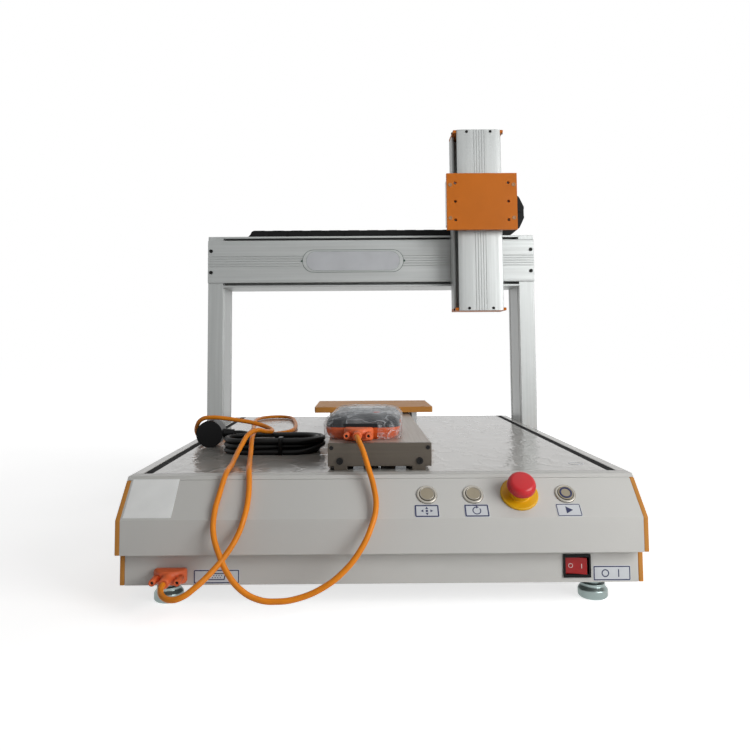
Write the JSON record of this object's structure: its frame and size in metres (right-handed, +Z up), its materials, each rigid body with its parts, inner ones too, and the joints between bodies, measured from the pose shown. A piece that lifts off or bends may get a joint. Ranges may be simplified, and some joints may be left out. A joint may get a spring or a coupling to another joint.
{
  "type": "desktop dispensing robot",
  "caption": "Desktop three-axis dispensing robot: sloped-front base, portal beam with a moving Z module and tool plate, sliding work plate, teach pendant and leads.",
  "frame": {"origin": "on the floor under the middle of the machine, leads left out", "axes": "+X to the right seen from the control panel, +Y to the back, +Z up"},
  "size_m": [0.606, 0.7461, 0.6605],
  "materials": {
    "painted_panel": "fine satin powder coat",
    "table_paint": "painted plate under a clear protective film",
    "orange_paint": "satin orange paint",
    "black_strip": "matt black",
    "foot_steel": "plated",
    "dark_plate": "dark anodised",
    "rail_steel": "ground",
    "anodised": "satin anodised",
    "machined": "machined",
    "motor_black": "black",
    "screw_black": "black oxide",
    "chain_plastic": "matt black",
    "button_metal": "turned",
    "stop_yellow": "matt",
    "stop_red": "semi gloss",
    "switch_black": "matt",
    "switch_red": "translucent red",
    "pendant_orange": "moulded",
    "pendant_black": "moulded",
    "hood_orange": "moulded",
    "cable_orange": "smooth jacket",
    "cord_black": "smooth jacket"
  },
  "bodies": {
    "base": {"base_pan": "painted_panel", "front_panel": "painted_panel", "plinth_panel": "painted_panel", "rear_panel": "painted_panel", "ridge_cover": "painted_panel", "table_plate": "table_paint", "side_plate_left": "orange_paint", "side_plate_right": "orange_paint", "slot_strips": "black_strip", "x_belt": "black_strip", "y_belt": "black_strip", "levelling_feet": "foot_steel", "ridge_end_plates": "dark_plate", "y_rails": "rail_steel", "x_rail": "rail_steel", "inlet_pins": "rail_steel", "comm_socket": "rail_steel", "column_left": "anodised", "column_right": "anodised", "beam_body": "anodised", "beam_cover": "anodised", "stepper_motors": "motor_black", "frame_screws": "screw_black", "chain_lower": "chain_plastic", "button_bezels": "button_metal", "estop_ring": "stop_yellow", "switch_frame": "switch_black", "power_inlet": "switch_black", "pendant_lower_shell": "pendant_orange", "pendant_upper_shell": "pendant_black", "pendant_plug": "hood_orange", "port_plug": "hood_orange", "pendant_cable": "cable_orange", "mains_hank": "cord_black", "mains_lead": "cord_black", "mains_plug": "cord_black", "mains_connector": "cord_black"},
    "y_carriage": {"y_slider": "machined", "y_plate": "orange_paint"},
    "x_carriage": {"x_slider": "machined", "x_plate": "machined", "z_body": "anodised", "z_cover": "anodised", "z_end_plates": "orange_paint", "z_motor": "motor_black", "z_rail": "rail_steel", "chain_upper": "chain_plastic", "chain_bracket": "machined"},
    "z_carriage": {"z_slider": "machined", "tool_plate": "orange_paint"},
    "z_screw_spindle": {"z_screw": "rail_steel"},
    "x_drive_pulley": {"x_drive_pulley": "machined"},
    "x_idler_pulley": {"x_idler_pulley": "machined"},
    "y_drive_pulley": {"y_drive_pulley": "machined"},
    "y_idler_pulley": {"y_idler_pulley": "machined"},
    "manual_button": {"manual_button": "button_metal"},
    "reset_button": {"reset_button": "button_metal"},
    "start_button": {"start_button": "button_metal"},
    "estop_head": {"estop_head": "stop_red"},
    "power_rocker": {"rocker": "switch_red"}
  },
  "joints": [
    {"name": "x_axis", "type": "slide", "parent": "base", "child": "x_carriage", "axis": [1, 0, 0], "range_m": [-0.385, 0.008], "deforming": ["chain_upper", "chain_lower"]},
    {"name": "y_axis", "type": "slide", "parent": "base", "child": "y_carriage", "axis": [0, 1, 0], "range_m": [-0.15, 0.055]},
    {"name": "z_axis", "type": "slide", "parent": "x_carriage", "child": "z_carriage", "axis": [0, 0, 1], "range_m": [-0.11, 0.01]},
    {"name": "z_screw_turn", "type": "hinge", "parent": "x_carriage", "child": "z_screw_spindle", "pos_m": [0.191, 0.162, 0.45], "axis": [0, 0, 1], "continuous": true},
    {"name": "x_drive_turn", "type": "hinge", "parent": "base", "child": "x_drive_pulley", "pos_m": [-0.25, 0.227, 0.453], "axis": [0, 1, 0], "continuous": true},
    {"name": "x_idler_turn", "type": "hinge", "parent": "base", "child": "x_idler_pulley", "pos_m": [0.255, 0.227, 0.453], "axis": [0, 1, 0], "continuous": true},
    {"name": "y_drive_turn", "type": "hinge", "parent": "base", "child": "y_drive_pulley", "pos_m": [0, 0.294, 0.144], "axis": [0, 0, 1], "continuous": true},
    {"name": "y_idler_turn", "type": "hinge", "parent": "base", "child": "y_idler_pulley", "pos_m": [0, -0.262, 0.144], "axis": [0, 0, 1], "continuous": true},
    {"name": "manual_press", "type": "slide", "parent": "base", "child": "manual_button", "axis": [0, 0.6979, -0.7162], "range_m": [0, 0.002], "stiffness_N_per_m": 800},
    {"name": "reset_press", "type": "slide", "parent": "base", "child": "reset_button", "axis": [0, 0.6979, -0.7162], "range_m": [0, 0.002], "stiffness_N_per_m": 800},
    {"name": "start_press", "type": "slide", "parent": "base", "child": "start_button", "axis": [0, 0.6979, -0.7162], "range_m": [0, 0.002], "stiffness_N_per_m": 800},
    {"name": "estop_press", "type": "slide", "parent": "base", "child": "estop_head", "axis": [0, 0.6979, -0.7162], "range_m": [0, 0.004]},
    {"name": "power_toggle", "type": "hinge", "parent": "base", "child": "power_rocker", "pos_m": [0.205, -0.326, 0.0442], "axis": [0, 0, 1], "range_deg": [0, 24]}
  ],
  "couplings": [
    {"joint": "z_screw_turn", "follows": "z_axis", "rad_per_m": 628.32},
    {"joint": "x_drive_turn", "follows": "x_axis", "rad_per_m": 166.67},
    {"joint": "x_idler_turn", "follows": "x_axis", "rad_per_m": 166.67},
    {"joint": "y_drive_turn", "follows": "y_axis", "rad_per_m": 166.67},
    {"joint": "y_idler_turn", "follows": "y_axis", "rad_per_m": 166.67}
  ]
}
